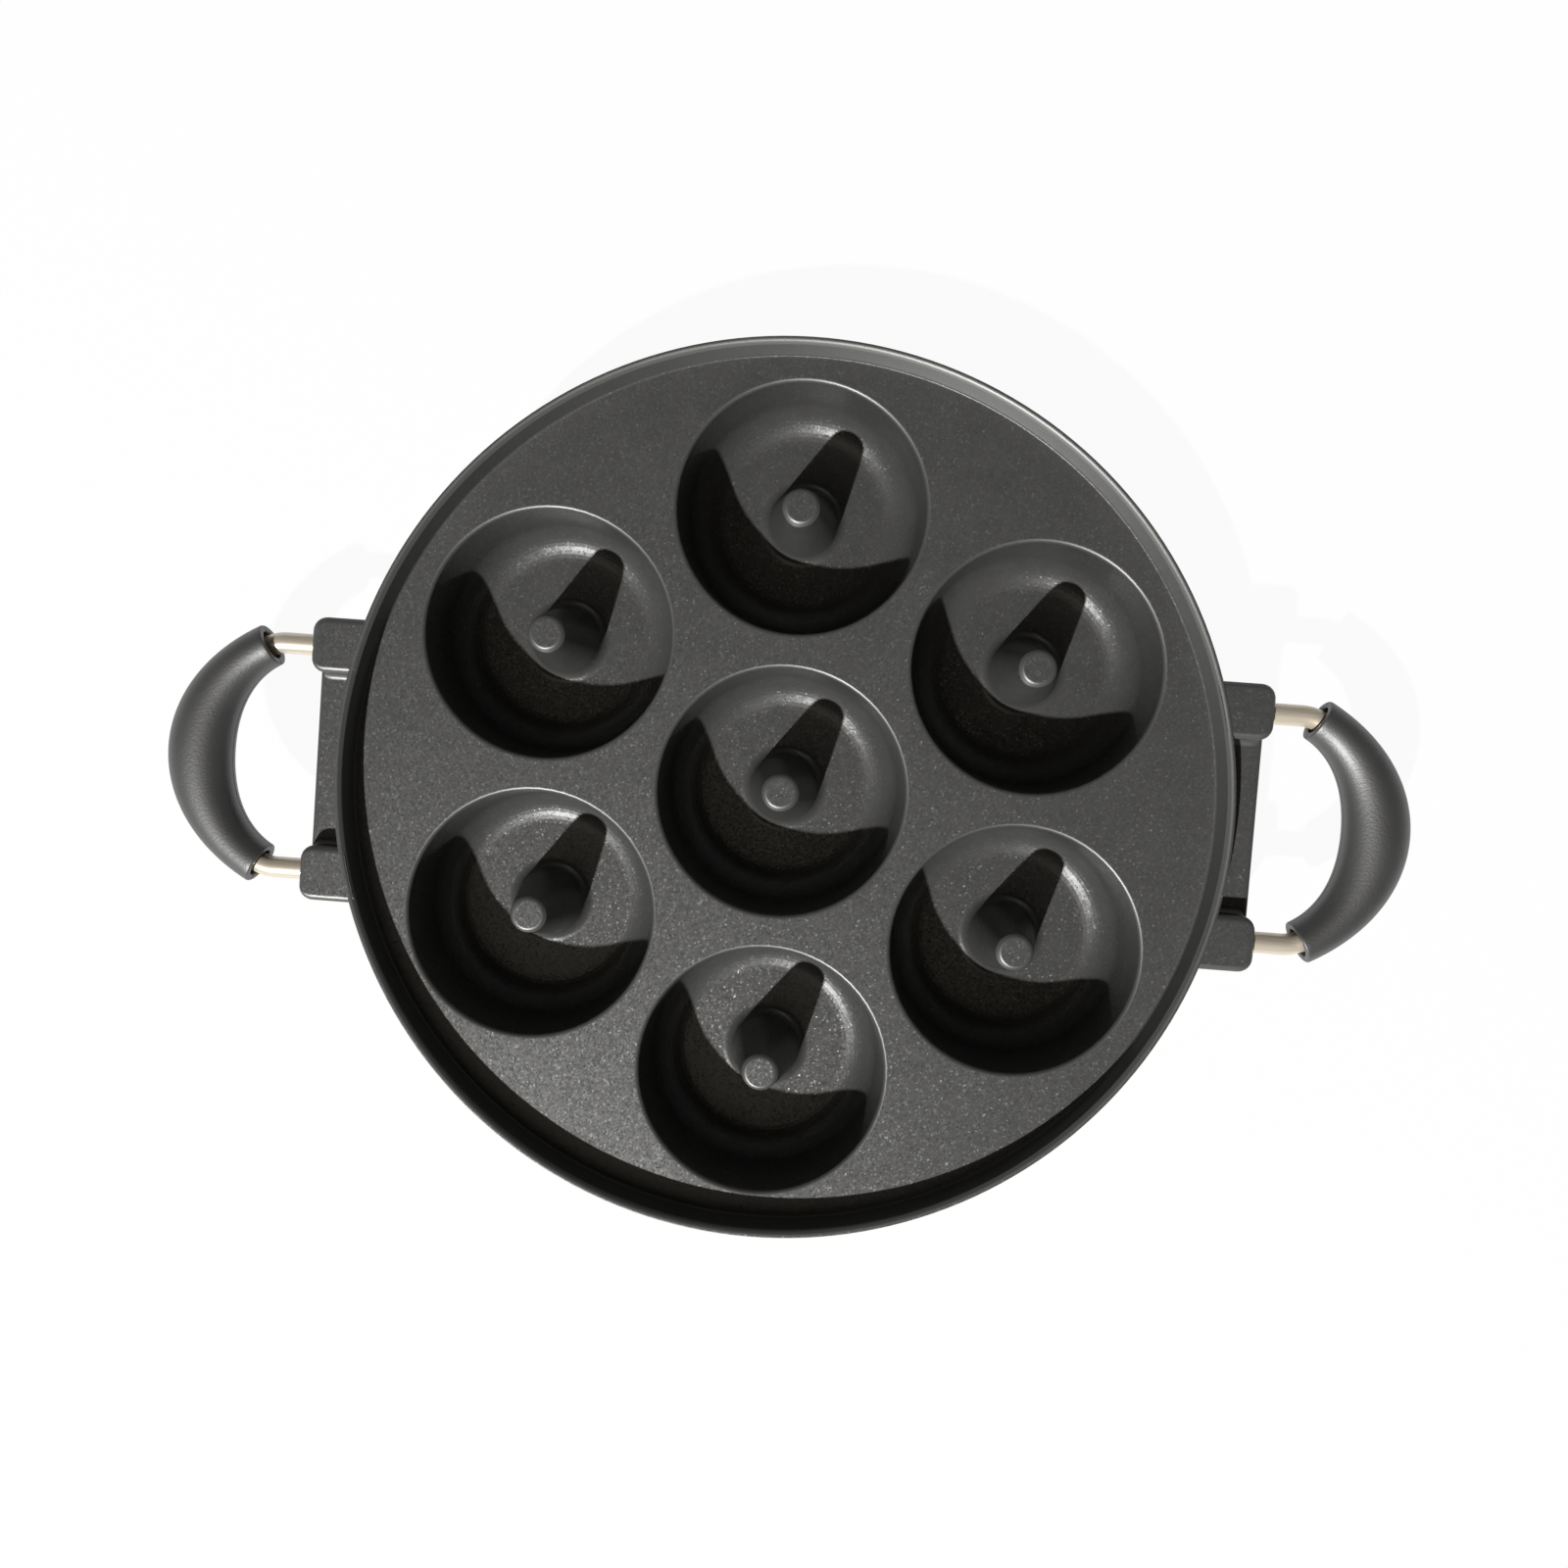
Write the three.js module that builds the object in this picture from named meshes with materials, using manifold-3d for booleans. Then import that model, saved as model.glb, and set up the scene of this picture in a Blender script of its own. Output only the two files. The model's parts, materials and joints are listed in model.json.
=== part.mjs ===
// A round cast donut pan: ring cups with tapered centre pins in one coated casting,
// with a steel wire handle and a hollow moulded grip on each side.
// Millimetres, +Z up. The origin is under the middle of the pan, on the surface that it stands on,
// and +X runs along the line of the two handles.
import * as THREE from "three";
import { ParametricGeometry } from "three/addons/geometries/ParametricGeometry.js";
import { mergeVertices } from "three/addons/utils/BufferGeometryUtils.js";
import Module from "manifold-3d";

const wasm = await Module();
wasm.setup();

const degrees = THREE.MathUtils.degToRad;

// Ring cups
const OUTER_CUPS = 6;
const FIRST_CUP_ANGLE = degrees(30);
const CUP_LIP_RADIUS = 35.2;
const CUP_LAND = 9.6; // plate left between two neighbouring lips
const CUP_DEPTH = 28.5;
const CUP_WALL_DRAFT = degrees(4);
const CUP_FLOOR_FILLET = 10;
const CUP_LIP_CHAMFER = 1;
const CASTING_WALL = 2.8;

// Centre pin of a cup, hollow from below
const PIN_TOP_RISE = 2.5; // pin top above the plate
const PIN_TOP_RADIUS = 5.1;
const PIN_BASE_RADIUS = 10.6;
const PIN_BASE_FILLET = 3;
const PIN_EDGE_ROUND = 1.5;
const PIN_WALL = 2.4;

// Plate and rim wall
const PLATE_MARGIN = 7.1; // plate between an outer lip and the rim wall
const PLATE_THICKNESS = 3;
const RIM_HEIGHT = 9.3; // above the plate
const RIM_WALL = 1.95;
const RIM_DRAFT = degrees(3.3);
const RIM_EDGE_ROUND = 0.9;
const RIM_FOOT_FILLET = 0.7;
const SKIRT_MARGIN = 0.5; // rim wall below the lugs' undersides

// Ears: two lugs and a web on each side
const LUG_WIDTH = 15.5;
const LUG_HEIGHT = 14.6;
const LUG_REACH = 8.5; // nose beyond the rim's outer face
const LUG_CORNER = 4;
const LUG_EDGE_ROUND = 1.8;
const LUG_TOP_DROP = 0.3; // lug top below the rim's top
const WEB_DROP = 6.8; // web top below the lug's top
const WEB_THICKNESS = 4.5;
const WEB_SETBACK = 0.5; // web edge behind the lug's nose

// Handle wires and the pins that hold them
const WIRE_DIAMETER = 6;
const WIRE_SPACING = 64; // between the two legs of a handle
const WIRE_LEG = 9.4; // straight wire between the lug's nose and the bend
const WIRE_BEND_RADIUS = 12;
const BOW_RISE = 3.4; // the bow's radius beyond half the spacing
const SOCKET_DEPTH = 10;
const LOCK_PIN_DIAMETER = 2;
const LOCK_PIN_SETBACK = 5; // from the lug's nose
const LOCK_PIN_OVERRUN = 1.2; // above the wire
const CLEARANCE = 0.3;

// Grips
const GRIP_HALF_ANGLE = degrees(62);
const GRIP_MIDDLE_WIDTH = 18;
const GRIP_MIDDLE_HEIGHT = 15;
const GRIP_WALL = 2;
const GRIP_END_GAP = 1.1; // between the wire and the grip's open end
const GRIP_RIB_ANGLE = degrees(38);
const GRIP_RIB_THICKNESS = 2.5;
const SCREW_ANGLE = degrees(17);
const SCREW_DIAMETER = 2;
const SCREW_HEAD_DIAMETER = 3.6;
const SCREW_HEAD_HEIGHT = 1.4;
const SCREW_GRIP = 2; // shell between the screw's head and the joint
const SCREW_BITE = 3.6; // thread above the joint
const BOSS_WALL = 1.2;

// Facets
const RIM_SEGMENTS = 72;
const CUP_SEGMENTS = 24;
const CORE_SEGMENTS = 16;
const WIRE_SEGMENTS = 10;
const WIRE_STEPS = 30;
const GRIP_SEGMENTS = 16;
const GRIP_STEPS = 12;
const SMALL_SEGMENTS = 12;
const ARC_STEPS = 2;
const FILLET_STEPS = 3;
const OVERCUT = 1; // how far a cutting shape runs past the face that it opens

// Places that follow from the sizes
const CUP_PITCH = 2 * CUP_LIP_RADIUS + CUP_LAND;
const CUP_RING_RADIUS = CUP_PITCH / Math.min(1, 2 * Math.sin(Math.PI / OUTER_CUPS));
const PLATE_TOP = CUP_DEPTH + CASTING_WALL;
const PLATE_RADIUS = CUP_RING_RADIUS + CUP_LIP_RADIUS + PLATE_MARGIN;
const RIM_OUTER_RADIUS = PLATE_RADIUS + RIM_HEIGHT * Math.tan(RIM_DRAFT) + RIM_WALL;
const PIN_SLOPE = (PIN_BASE_RADIUS - PIN_TOP_RADIUS) / (CUP_DEPTH + PIN_TOP_RISE);
const LUG_TOP = PLATE_TOP + RIM_HEIGHT - LUG_TOP_DROP;
const LUG_BOTTOM = LUG_TOP - LUG_HEIGHT;
const LUG_NOSE = RIM_OUTER_RADIUS + LUG_REACH;
const WIRE_LEVEL = LUG_TOP - LUG_HEIGHT / 2;
const WIRE_RADIUS = WIRE_DIAMETER / 2;
const LEG_OFFSET = WIRE_SPACING / 2;
const BEND_START = LUG_NOSE + WIRE_LEG;
const BOW_RADIUS = LEG_OFFSET + BOW_RISE;
const BOW_CENTRE = BEND_START - Math.sqrt(BOW_RISE * (BOW_RADIUS + LEG_OFFSET - 2 * WIRE_BEND_RADIUS));
const GRIP_END_WIDTH = WIRE_DIAMETER + 2 * (GRIP_END_GAP + GRIP_WALL);
const BOSS_RADIUS = SCREW_HEAD_DIAMETER / 2 + CLEARANCE + BOSS_WALL;
const SCREW_PLACE = WIRE_RADIUS + CLEARANCE + SCREW_HEAD_DIAMETER / 2 + CLEARANCE; // beyond the bow
const FAR = 2 * (BOW_CENTRE + BOW_RADIUS + GRIP_MIDDLE_WIDTH);

const coating = new THREE.MeshStandardMaterial({ color: 0x48494a, roughness: 0.45, metalness: 0.35 });
const steel = new THREE.MeshStandardMaterial({ color: 0xc9bfae, roughness: 0.3, metalness: 1 });
const plastic = new THREE.MeshStandardMaterial({ color: 0x3a3b3d, roughness: 0.5, metalness: 0 });

// Solids from geometries and back

function toSolid(geometry) {
  const bare = new THREE.BufferGeometry();
  bare.setAttribute("position", geometry.getAttribute("position"));
  bare.setIndex(geometry.index);
  const merged = mergeVertices(bare);
  const corners = merged.index.array;
  const whole = [];
  for (let i = 0; i < corners.length; i += 3) {
    const [a, b, c] = corners.slice(i, i + 3);
    if (a !== b && b !== c && c !== a) {
      whole.push(a, b, c);
    }
  }
  const vertProperties = new Float32Array(merged.getAttribute("position").array);
  const triVerts = new Uint32Array(whole);
  return new wasm.Manifold(new wasm.Mesh({ numProp: 3, vertProperties, triVerts }));
}

function toMesh(name, solid, material) {
  const { vertProperties, triVerts } = solid.getMesh();
  const geometry = new THREE.BufferGeometry();
  geometry.setAttribute("position", new THREE.BufferAttribute(vertProperties, 3));
  geometry.setIndex(new THREE.BufferAttribute(triVerts, 1));
  const mesh = new THREE.Mesh(geometry, material);
  mesh.name = name;
  return mesh;
}

const joined = (solids) => solids.reduce((whole, next) => whole.add(next));
const cutBy = (solid, cutters) => cutters.reduce((whole, next) => whole.subtract(next), solid);

// A polyline through corners [x, y, radius, steps], with an arc at each corner that has a radius.
function rounded(corners) {
  const at = ([x, y]) => new THREE.Vector2(x, y);
  return corners.flatMap((corner, i) => {
    const [, , radius = 0, steps = ARC_STEPS] = corner;
    const here = at(corner);
    if (radius === 0) {
      return [here];
    }
    const before = at(corners.at(i - 1)).sub(here).normalize();
    const after = at(corners[(i + 1) % corners.length]).sub(here).normalize();
    const half = Math.acos(before.dot(after)) / 2;
    const towardsCentre = before.clone().add(after).normalize();
    const centre = here.clone().addScaledVector(towardsCentre, radius / Math.sin(half));
    const start = here.clone().addScaledVector(before, radius / Math.tan(half)).sub(centre);
    const turn = (Math.PI - 2 * half) * -Math.sign(before.cross(after));
    return Array.from({ length: steps + 1 }, (_, k) =>
      start.clone().rotateAround(new THREE.Vector2(), (turn * k) / steps).add(centre));
  });
}

// A profile of (radius, height) points, running anticlockwise, turned round the Z axis.
function turned(profile, segments) {
  return toSolid(new THREE.LatheGeometry(profile, segments).rotateX(Math.PI / 2));
}

function rod(radius, bottom, top, segments = SMALL_SEGMENTS) {
  return turned(rounded([[0, bottom], [radius, bottom], [radius, top], [0, top]]), segments);
}

function block(low, high) {
  const size = high.map((end, axis) => end - low[axis]);
  const middle = high.map((end, axis) => (end + low[axis]) / 2);
  return toSolid(new THREE.BoxGeometry(...size).translate(...middle));
}

// The casting

function plateAndRim() {
  const slope = Math.tan(RIM_DRAFT);
  const skirtBottom = LUG_BOTTOM - SKIRT_MARGIN;
  const plateUnderside = PLATE_TOP - PLATE_THICKNESS;
  const rimTop = PLATE_TOP + RIM_HEIGHT;
  const inner = (z) => PLATE_RADIUS + (z - PLATE_TOP) * slope;
  const outer = (z) => inner(z) + RIM_WALL;
  const profile = rounded([
    [0, plateUnderside],
    [inner(plateUnderside), plateUnderside],
    [inner(skirtBottom), skirtBottom],
    [outer(skirtBottom), skirtBottom],
    [outer(rimTop), rimTop, RIM_EDGE_ROUND],
    [inner(rimTop), rimTop, RIM_EDGE_ROUND],
    [inner(PLATE_TOP), PLATE_TOP, RIM_FOOT_FILLET],
    [0, PLATE_TOP],
  ]);
  return turned(profile, RIM_SEGMENTS);
}

// The outside of a cup, under the plate.
function cupBulge() {
  const slope = Math.tan(CUP_WALL_DRAFT);
  const wallAt = (z) => CUP_LIP_RADIUS + CASTING_WALL / Math.cos(CUP_WALL_DRAFT) - (PLATE_TOP - z) * slope;
  const top = PLATE_TOP - PLATE_THICKNESS / 2;
  const profile = rounded([
    [0, 0],
    [wallAt(0), 0, CUP_FLOOR_FILLET + CASTING_WALL, FILLET_STEPS],
    [wallAt(top), top],
    [0, top],
  ]);
  return turned(profile, CUP_SEGMENTS);
}

// The inside of a cup, before its pin stands in it.
function cupHollow() {
  const floor = PLATE_TOP - CUP_DEPTH;
  const slope = Math.tan(CUP_WALL_DRAFT);
  const lipFoot = PLATE_TOP - CUP_LIP_CHAMFER;
  const profile = rounded([
    [0, floor],
    [CUP_LIP_RADIUS - CUP_DEPTH * slope, floor, CUP_FLOOR_FILLET, FILLET_STEPS],
    [CUP_LIP_RADIUS - CUP_LIP_CHAMFER * slope, lipFoot],
    [CUP_LIP_RADIUS + CUP_LIP_CHAMFER + OVERCUT, PLATE_TOP + OVERCUT],
    [0, PLATE_TOP + OVERCUT],
  ]);
  return turned(profile, CUP_SEGMENTS);
}

// The pin in the middle of a cup, rooted half way down the cup's floor.
function cupPin() {
  const floor = PLATE_TOP - CUP_DEPTH;
  const root = floor - CASTING_WALL / 2;
  const top = PLATE_TOP + PIN_TOP_RISE;
  const foot = PIN_BASE_RADIUS + PIN_BASE_FILLET;
  const profile = rounded([
    [0, root],
    [foot, root],
    [foot, floor],
    [PIN_BASE_RADIUS, floor, PIN_BASE_FILLET],
    [PIN_TOP_RADIUS, top, PIN_EDGE_ROUND],
    [0, top],
  ]);
  return turned(profile, CUP_SEGMENTS);
}

// The core that makes the pin hollow from below.
function pinCore() {
  const top = PLATE_TOP + PIN_TOP_RISE - PIN_WALL;
  const wall = PIN_WALL * Math.hypot(1, PIN_SLOPE);
  const coreAt = (z) => PIN_TOP_RADIUS + (PLATE_TOP + PIN_TOP_RISE - z) * PIN_SLOPE - wall;
  const profile = rounded([
    [0, -OVERCUT],
    [coreAt(-OVERCUT), -OVERCUT],
    [coreAt(top), top],
    [0, top],
  ]);
  return turned(profile, CORE_SEGMENTS);
}

function cupPlaces() {
  const ring = Array.from({ length: OUTER_CUPS }, (_, k) => {
    const angle = FIRST_CUP_ANGLE + (k * 2 * Math.PI) / OUTER_CUPS;
    return [CUP_RING_RADIUS * Math.cos(angle), CUP_RING_RADIUS * Math.sin(angle), 0];
  });
  return [[0, 0, 0], ...ring];
}

// A lug on the +X side, with rounded edges, from the pan's middle out to its nose.
function lug(legOffset) {
  const outline = rounded([
    [0, legOffset - LUG_WIDTH / 2],
    [LUG_NOSE, legOffset - LUG_WIDTH / 2, LUG_CORNER],
    [LUG_NOSE, legOffset + LUG_WIDTH / 2, LUG_CORNER],
    [0, legOffset + LUG_WIDTH / 2],
  ]);
  const geometry = new THREE.ExtrudeGeometry(new THREE.Shape(outline), {
    depth: LUG_HEIGHT - 2 * LUG_EDGE_ROUND,
    bevelSize: LUG_EDGE_ROUND,
    bevelOffset: -LUG_EDGE_ROUND,
    bevelThickness: LUG_EDGE_ROUND,
    bevelSegments: ARC_STEPS,
  });
  return toSolid(geometry.translate(0, 0, LUG_BOTTOM + LUG_EDGE_ROUND));
}

// The two lugs and the web on the +X side, cut off inside the rim wall.
function ear() {
  const webTop = LUG_TOP - WEB_DROP;
  const web = block(
    [0, -LEG_OFFSET, webTop - WEB_THICKNESS],
    [LUG_NOSE - WEB_SETBACK, LEG_OFFSET, webTop],
  );
  const middleOfWall = PLATE_RADIUS + RIM_WALL / 2;
  const inside = rod(middleOfWall, -OVERCUT, PLATE_TOP + RIM_HEIGHT + OVERCUT, RIM_SEGMENTS);
  return joined([web, lug(LEG_OFFSET), lug(-LEG_OFFSET)]).subtract(inside);
}

// The hole for a wire leg and the hole for its lock pin, in one lug on the +X side.
function legHoles(legOffset) {
  const radius = WIRE_RADIUS + CLEARANCE;
  const along = rod(radius, LUG_NOSE - SOCKET_DEPTH - CLEARANCE, LUG_NOSE + OVERCUT, WIRE_SEGMENTS)
    .rotate([0, 90, 0])
    .translate([0, legOffset, WIRE_LEVEL]);
  return [along, lockPinHole(legOffset)];
}

function lockPinHole(legOffset) {
  const top = WIRE_LEVEL + WIRE_RADIUS + LOCK_PIN_OVERRUN + CLEARANCE;
  return rod(LOCK_PIN_DIAMETER / 2 + CLEARANCE, LUG_BOTTOM - OVERCUT, top)
    .translate([LUG_NOSE - LOCK_PIN_SETBACK, legOffset, 0]);
}

function panBody() {
  const places = cupPlaces();
  const spread = (solid) => places.map((place) => solid.translate(place));
  const rightEar = ear();
  const leftEar = rightEar.rotate([0, 0, 180]);
  const rightHoles = [...legHoles(LEG_OFFSET), ...legHoles(-LEG_OFFSET)];
  const leftHoles = rightHoles.map((hole) => hole.rotate([0, 0, 180]));
  const blank = joined([plateAndRim(), rightEar, leftEar, ...spread(cupBulge())]);
  const cupped = cutBy(blank, spread(cupHollow()));
  const pinned = joined([cupped, ...spread(cupPin())]);
  const casting = cutBy(pinned, [...spread(pinCore()), ...rightHoles, ...leftHoles]);
  return toMesh("pan_body", casting, coating);
}

// The handles, made on the +X side

// The wire's middle line: a leg, a bend, the bow, a bend and a leg, all level.
class WirePath extends THREE.Curve {
  constructor() {
    super();
    const bendTurn = Math.atan2(BEND_START - BOW_CENTRE, LEG_OFFSET - WIRE_BEND_RADIUS);
    this.legLength = BEND_START - (LUG_NOSE - SOCKET_DEPTH);
    this.bendLength = bendTurn * WIRE_BEND_RADIUS;
    this.bowHalf = (Math.PI / 2 - bendTurn) * BOW_RADIUS;
    this.half = this.legLength + this.bendLength + this.bowHalf;
  }

  getPoint(t, target = new THREE.Vector3()) {
    const travelled = t * 2 * this.half;
    const side = travelled <= this.half ? -1 : 1;
    const run = Math.min(travelled, 2 * this.half - travelled);
    const bend = Math.min(Math.max(run - this.legLength, 0), this.bendLength) / WIRE_BEND_RADIUS;
    if (run <= this.legLength + this.bendLength) {
      const legX = LUG_NOSE - SOCKET_DEPTH + Math.min(run, this.legLength);
      const x = legX + WIRE_BEND_RADIUS * Math.sin(bend);
      const y = LEG_OFFSET - WIRE_BEND_RADIUS * (1 - Math.cos(bend));
      return target.set(x, side * y, WIRE_LEVEL);
    }
    const left = (this.half - run) / BOW_RADIUS;
    return target.set(BOW_CENTRE + BOW_RADIUS * Math.cos(left), side * BOW_RADIUS * Math.sin(left), WIRE_LEVEL);
  }
}

function wireSolid(radius) {
  const section = Array.from({ length: WIRE_SEGMENTS }, (_, k) =>
    new THREE.Vector2(radius, 0).rotateAround(new THREE.Vector2(), (k * 2 * Math.PI) / WIRE_SEGMENTS));
  const settings = { steps: WIRE_STEPS, extrudePath: new WirePath(), bevelEnabled: false };
  return toSolid(new THREE.ExtrudeGeometry(new THREE.Shape(section), settings));
}

function handleWire(name) {
  const holes = [LEG_OFFSET, -LEG_OFFSET].map(lockPinHole);
  return toMesh(name, cutBy(wireSolid(WIRE_RADIUS), holes), steel);
}

function lockPin(name, legOffset) {
  const pin = rod(LOCK_PIN_DIAMETER / 2, LUG_BOTTOM + CLEARANCE, WIRE_LEVEL + WIRE_RADIUS + LOCK_PIN_OVERRUN)
    .translate([LUG_NOSE - LOCK_PIN_SETBACK, legOffset, 0]);
  return toMesh(name, pin, steel);
}

// A crescent of elliptical sections along the bow, thickest in the middle, taken in by inset all round.
function crescent(inset, overrun) {
  const rows = GRIP_STEPS + 2;
  const surface = (u, v, target) => {
    const along = Math.min(Math.max((u * rows - 1) / GRIP_STEPS, 0), 1) * 2 - 1;
    const open = u === 0 || u === 1 ? 0 : 1;
    const swell = Math.cos((along * Math.PI) / 2) ** 2;
    const size = (middle) => open * ((GRIP_END_WIDTH + (middle - GRIP_END_WIDTH) * swell) / 2 - inset);
    const angle = along * (GRIP_HALF_ANGLE + overrun / BOW_RADIUS);
    const section = v * 2 * Math.PI;
    const radius = BOW_RADIUS + size(GRIP_MIDDLE_WIDTH) * Math.cos(section);
    const height = size(GRIP_MIDDLE_HEIGHT) * Math.sin(section);
    target.set(BOW_CENTRE + radius * Math.cos(angle), radius * Math.sin(angle), WIRE_LEVEL + height);
  };
  return toSolid(new ParametricGeometry(surface, rows, GRIP_SEGMENTS));
}

// A shape at (distance from the bow's centre, height above the wire), turned round the bow by an angle.
const onBow = (solid, angle) =>
  solid.rotate([0, 0, THREE.MathUtils.radToDeg(angle)]).translate([BOW_CENTRE, 0, WIRE_LEVEL]);

const screwSites = [SCREW_ANGLE, -SCREW_ANGLE];

function screwRod(radius, bottom, top) {
  return rod(radius, bottom, top).translate([BOW_RADIUS + SCREW_PLACE, 0, 0]);
}

// The grip before it is parted: a hollow crescent with ribs round the wire and a boss for each screw.
function gripSleeve() {
  const outer = crescent(0, 0);
  const inner = crescent(GRIP_WALL, OVERCUT);
  const rib = block([0, -GRIP_RIB_THICKNESS / 2, -FAR], [FAR, GRIP_RIB_THICKNESS / 2, FAR]);
  const ribs = [GRIP_RIB_ANGLE, -GRIP_RIB_ANGLE].map((angle) => onBow(rib, angle));
  const bosses = screwSites.map((angle) => onBow(screwRod(BOSS_RADIUS, -FAR, FAR), angle));
  const filling = joined([...ribs, ...bosses]).intersect(crescent(GRIP_WALL / 2, 0));
  return outer.subtract(inner).add(filling).subtract(wireSolid(WIRE_RADIUS + CLEARANCE));
}

function gripShells(side) {
  const sleeve = gripSleeve();
  const joint = CLEARANCE / 2;
  const pilot = screwRod(SCREW_DIAMETER / 2 + CLEARANCE, -FAR, SCREW_BITE + CLEARANCE);
  const headRoom = screwRod(SCREW_HEAD_DIAMETER / 2 + CLEARANCE, -FAR, -SCREW_GRIP);
  const holes = screwSites.flatMap((angle) => [onBow(pilot, angle), onBow(headRoom, angle)]);
  const drilled = cutBy(sleeve, holes);
  const above = block([-FAR, -FAR, WIRE_LEVEL + joint], [FAR, FAR, FAR]);
  const below = block([-FAR, -FAR, -FAR], [FAR, FAR, WIRE_LEVEL - joint]);
  return [
    toMesh(`${side}_grip_upper_shell`, drilled.intersect(above), plastic),
    toMesh(`${side}_grip_lower_shell`, drilled.intersect(below), plastic),
  ];
}

function gripScrew(name, angle) {
  const headTop = -SCREW_GRIP - CLEARANCE;
  const head = screwRod(SCREW_HEAD_DIAMETER / 2, headTop - SCREW_HEAD_HEIGHT, headTop);
  const thread = screwRod(SCREW_DIAMETER / 2, headTop - SCREW_HEAD_HEIGHT / 2, SCREW_BITE);
  return toMesh(name, onBow(head.add(thread), angle), steel);
}

function handle(side, angle) {
  const group = new THREE.Group();
  group.rotation.z = angle;
  const [near, away] = angle === 0 ? ["rear", "front"] : ["front", "rear"];
  group.add(
    handleWire(`${side}_handle_wire`),
    lockPin(`${side}_${near}_wire_pin`, LEG_OFFSET),
    lockPin(`${side}_${away}_wire_pin`, -LEG_OFFSET),
    ...gripShells(side),
    gripScrew(`${side}_${near}_grip_screw`, SCREW_ANGLE),
    gripScrew(`${side}_${away}_grip_screw`, -SCREW_ANGLE),
  );
  return group;
}

const donutPan = new THREE.Group();
donutPan.add(panBody(), handle("right", 0), handle("left", Math.PI));

export default donutPan;
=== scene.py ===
"""The looks of a round cast donut pan: one coated casting, two wire handles and their hollow grips.

Sizes below are millimetres in the frame of the solids: the origin is under the middle cup on the surface
that the pan stands on, +X runs along the line of the handles and +Z is up. Meshes are written in metres.
"""

import json

import bmesh
import bpy
import numpy as np
from mathutils import Matrix, Vector

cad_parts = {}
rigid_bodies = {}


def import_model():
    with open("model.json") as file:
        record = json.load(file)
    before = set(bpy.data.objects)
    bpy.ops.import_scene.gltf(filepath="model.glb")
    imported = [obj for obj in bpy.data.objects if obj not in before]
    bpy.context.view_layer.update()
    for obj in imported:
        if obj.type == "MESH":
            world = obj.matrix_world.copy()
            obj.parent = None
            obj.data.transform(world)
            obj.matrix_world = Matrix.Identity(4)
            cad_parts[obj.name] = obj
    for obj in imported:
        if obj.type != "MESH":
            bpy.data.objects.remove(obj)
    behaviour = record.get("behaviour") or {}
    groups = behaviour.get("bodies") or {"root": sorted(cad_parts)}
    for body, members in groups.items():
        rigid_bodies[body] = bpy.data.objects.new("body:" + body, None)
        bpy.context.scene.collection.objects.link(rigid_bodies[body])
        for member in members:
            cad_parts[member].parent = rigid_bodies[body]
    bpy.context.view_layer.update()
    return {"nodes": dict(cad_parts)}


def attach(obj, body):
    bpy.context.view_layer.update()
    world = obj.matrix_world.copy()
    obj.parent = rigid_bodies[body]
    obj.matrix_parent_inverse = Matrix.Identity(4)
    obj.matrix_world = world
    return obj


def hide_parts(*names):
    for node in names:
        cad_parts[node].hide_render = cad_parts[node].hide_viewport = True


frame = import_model()

MM = 0.001

# Cups and their centre pins
LIP_RADIUS = 35.2
CUP_RING_RADIUS = 80.0
HALF_PITCH = CUP_RING_RADIUS / 2
CUP_AZIMUTHS = np.radians(30 + 60 * np.arange(6))
CUP_DEPTH = 28.5
CUP_SLOPE = np.tan(np.radians(4))
FLOOR_FILLET = 10.0
LIP_ROUND = 1.2
CASTING_WALL = 2.8
BULGE_ROOT_FILLET = 1.5
BULGE_LAND = 2.0
PIN_TOP_RISE = 2.5
PIN_TOP_RADIUS = 5.1
PIN_BASE_RADIUS = 10.6
PIN_BASE_FILLET = 3.0
PIN_EDGE_ROUND = 1.5
PIN_WALL = 2.4
CORE_TOP_FILLET = 1.0
CORE_MOUTH_ROUND = 0.8

# Plate and rim wall
PLATE_TOP = CUP_DEPTH + CASTING_WALL
PLATE_RADIUS = 122.3
PLATE_THICKNESS = 3.0
RIM_HEIGHT = 9.3
RIM_TOP = PLATE_TOP + RIM_HEIGHT
RIM_WALL = 1.95
RIM_SLOPE = np.tan(np.radians(3.3))
RIM_INNER_ROUND = 1.65
RIM_OUTER_ROUND = 0.2
RIM_FOOT_FILLET = 0.7
RIM_FOOT_LAND = 1.2 * RIM_FOOT_FILLET
SKIRT_BOTTOM = 25.5
SKIRT_ROUND = 0.7
SKIRT_ROOT_FILLET = 1.0
SKIRT_ROOT_LAND = 1.2

# Ears
LUG_WIDTH = 15.5
LUG_HEIGHT = 14.6
LUG_DROP = 0.3
LUG_TOP = RIM_TOP - LUG_DROP
LUG_NOSE = 133.3
LUG_CORNER = 4.0
LUG_EDGE_ROUND = 1.8
LUG_ROOT_RADIUS = PLATE_RADIUS + RIM_WALL / 2
WEB_DROP = 6.8
WEB_TOP = LUG_TOP - WEB_DROP
WEB_THICKNESS = 4.5
WEB_SETBACK = 0.5
WEB_EDGE = LUG_NOSE - WEB_SETBACK
WEB_EDGE_ROUND = 1.2
FOOT_FILLET = 1.8
FOOT_FILLET_SINK = 0.6

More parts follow.
